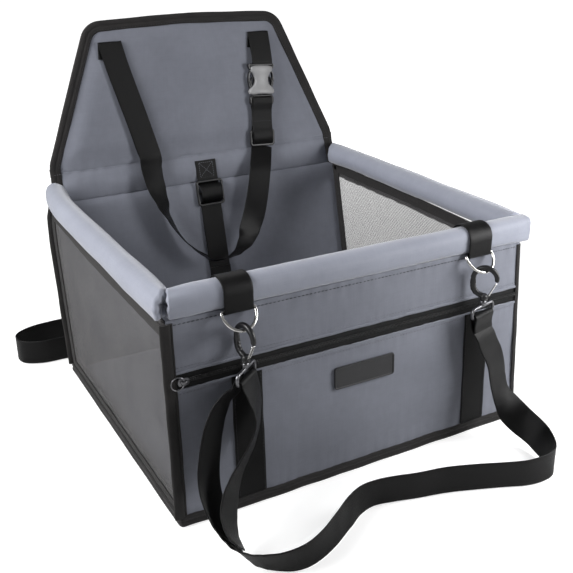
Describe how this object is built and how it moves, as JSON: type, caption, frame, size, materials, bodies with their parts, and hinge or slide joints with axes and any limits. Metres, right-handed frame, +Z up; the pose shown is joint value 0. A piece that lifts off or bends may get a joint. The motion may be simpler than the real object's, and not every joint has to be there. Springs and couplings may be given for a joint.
{
  "type": "dog car booster seat",
  "caption": "Folding fabric booster box for a small dog: padded tube rim, hinged back flap with harness and buckle, tether hook, zip front and clip-on carry strap.",
  "frame": {"origin": "centre of the base's underside, where the seat stands on the car seat", "axes": "+Z up, +X to the right along the front panel, +Y from the front panel to the back panel"},
  "size_m": [0.4703, 0.5657, 0.4138],
  "materials": {
    "grey_fabric": "coated woven polyester, matte slate grey",
    "dark_fabric": "coated woven polyester, matte dark grey",
    "mesh_fabric": "open woven mesh, dark grey",
    "black_tape": "ribbed woven binding tape, black",
    "black_webbing": "flat woven webbing, black, slight sheen",
    "board": "plain stiffening board, inside the panels",
    "white_plastic": "plain plastic tube, inside the rim",
    "black_plastic": "moulded black plastic, satin",
    "grey_plastic": "moulded dark grey plastic, satin",
    "nickel": "polished nickel wire",
    "gunmetal": "dark gunmetal plate",
    "rubber_patch": "plain black soft patch, nothing on it"
  },
  "bodies": {
    "box": {"base_fabric": "dark_fabric", "base_board": "board", "base_pad": "grey_fabric", "front_board": "dark_fabric", "pocket_panel": "grey_fabric", "front_upper_panel": "grey_fabric", "zip_tape": "black_tape", "zip_chain": "black_plastic", "left_front_strip": "black_webbing", "right_front_strip": "black_webbing", "label_patch": "rubber_patch", "left_mesh_panel": "mesh_fabric", "right_mesh_panel": "mesh_fabric", "left_top_tape": "black_tape", "right_top_tape": "black_tape", "back_liner": "grey_fabric", "back_board": "board", "back_cover": "dark_fabric", "fold_band": "grey_fabric", "front_rim_sleeve": "grey_fabric", "left_rim_sleeve": "grey_fabric", "right_rim_sleeve": "grey_fabric", "front_rim_tube": "white_plastic", "left_rim_tube": "white_plastic", "right_rim_tube": "white_plastic", "bottom_binding": "black_tape", "front_left_binding": "black_tape", "front_right_binding": "black_tape", "back_left_binding": "black_tape", "back_right_binding": "black_tape", "left_ring_loop": "black_webbing", "right_ring_loop": "black_webbing", "carry_strap": "black_webbing", "left_strap_end": "black_webbing", "right_strap_end": "black_webbing", "harness_loop": "black_webbing", "tether_slider": "black_plastic", "tether_strap": "black_webbing", "rear_strap": "black_webbing"},
    "flap": {"flap_front_cover": "grey_fabric", "flap_board": "board", "flap_rear_cover": "dark_fabric", "flap_binding": "black_tape", "harness_left_strap": "black_webbing", "harness_right_strap": "black_webbing", "buckle_socket": "grey_plastic"},
    "buckle_half": {"buckle_prongs": "black_plastic", "harness_glide": "black_plastic"},
    "slider": {"zip_slider": "black_plastic"},
    "pull_ring": {"zip_pull": "nickel"},
    "left_ring": {"left_d_ring": "nickel"},
    "right_ring": {"right_d_ring": "nickel"},
    "left_clip_eye": {"left_eye": "gunmetal"},
    "right_clip_eye": {"right_eye": "gunmetal"},
    "left_clip": {"left_hook": "black_plastic"},
    "right_clip": {"right_hook": "black_plastic"},
    "left_clip_gate": {"left_gate": "nickel"},
    "right_clip_gate": {"right_gate": "nickel"},
    "tether_clip": {"tether_hook": "black_plastic"},
    "tether_clip_gate": {"tether_gate": "nickel"}
  },
  "joints": [
    {"name": "flap_fold", "type": "hinge", "parent": "box", "child": "flap", "pos_m": [0, 0.22355, 0.2402], "axis": [1, 0, 0], "range_deg": [-12, 97], "deforming": ["harness_loop"]},
    {"name": "buckle_release", "type": "slide", "parent": "flap", "child": "buckle_half", "axis": [-0.0558, -0.1251, -0.9906], "range_m": [0, 0.03], "deforming": ["harness_loop"]},
    {"name": "zip_slide", "type": "slide", "parent": "box", "child": "slider", "axis": [1, 0, 0], "range_m": [0, 0.375]},
    {"name": "zip_pull_swing", "type": "hinge", "parent": "slider", "child": "pull_ring", "pos_m": [-0.19, -0.17426, 0.14904], "axis": [0, 0.0412, 0.9991], "range_deg": [0, 150]},
    {"name": "left_hook_swing", "type": "hinge", "parent": "box", "child": "left_clip_eye", "pos_m": [-0.1355, -0.17176, 0.2065], "axis": [1, 0, 0], "range_deg": [-40, 0], "deforming": ["left_strap_end"]},
    {"name": "left_ring_swing", "type": "hinge", "parent": "box", "child": "left_ring", "pos_m": [-0.1355, -0.17176, 0.2065], "axis": [1, 0, 0], "range_deg": [-40, 0]},
    {"name": "left_hook_swivel", "type": "hinge", "parent": "left_clip_eye", "child": "left_clip", "pos_m": [-0.1355, -0.18494, 0.1953], "axis": [0, 0, 1], "range_deg": [-12, 25]},
    {"name": "left_gate_open", "type": "hinge", "parent": "left_clip", "child": "left_clip_gate", "pos_m": [-0.13447, -0.18978, 0.16574], "axis": [-0.9781, -0.2079, 0], "range_deg": [0, 25], "stiffness_Nm_per_rad": 0.02},
    {"name": "right_hook_swing", "type": "hinge", "parent": "box", "child": "right_clip_eye", "pos_m": [0.1355, -0.17176, 0.2065], "axis": [1, 0, 0], "range_deg": [-40, 0], "deforming": ["right_strap_end"]},
    {"name": "right_ring_swing", "type": "hinge", "parent": "box", "child": "right_ring", "pos_m": [0.1355, -0.17176, 0.2065], "axis": [1, 0, 0], "range_deg": [-40, 0]},
    {"name": "right_hook_swivel", "type": "hinge", "parent": "right_clip_eye", "child": "right_clip", "pos_m": [0.1355, -0.18494, 0.1953], "axis": [0, 0, 1], "range_deg": [-20, 3]},
    {"name": "right_gate_open", "type": "hinge", "parent": "right_clip", "child": "right_clip_gate", "pos_m": [0.13894, -0.1885, 0.16574], "axis": [-0.7193, -0.6947, 0], "range_deg": [0, 25], "stiffness_Nm_per_rad": 0.02},
    {"name": "tether_hook_swing", "type": "hinge", "parent": "box", "child": "tether_clip", "pos_m": [0.006, 0.17671, 0.06727], "axis": [1, 0, 0], "range_deg": [-75, 0]},
    {"name": "tether_gate_open", "type": "hinge", "parent": "tether_clip", "child": "tether_clip_gate", "pos_m": [0.01096, 0.17262, 0.05011], "axis": [0, 0.9728, -0.2317], "range_deg": [0, 25], "stiffness_Nm_per_rad": 0.02}
  ],
  "couplings": [
    {"joint": "left_ring_swing", "follows": "left_hook_swing", "ratio": 1},
    {"joint": "right_ring_swing", "follows": "right_hook_swing", "ratio": 1}
  ]
}
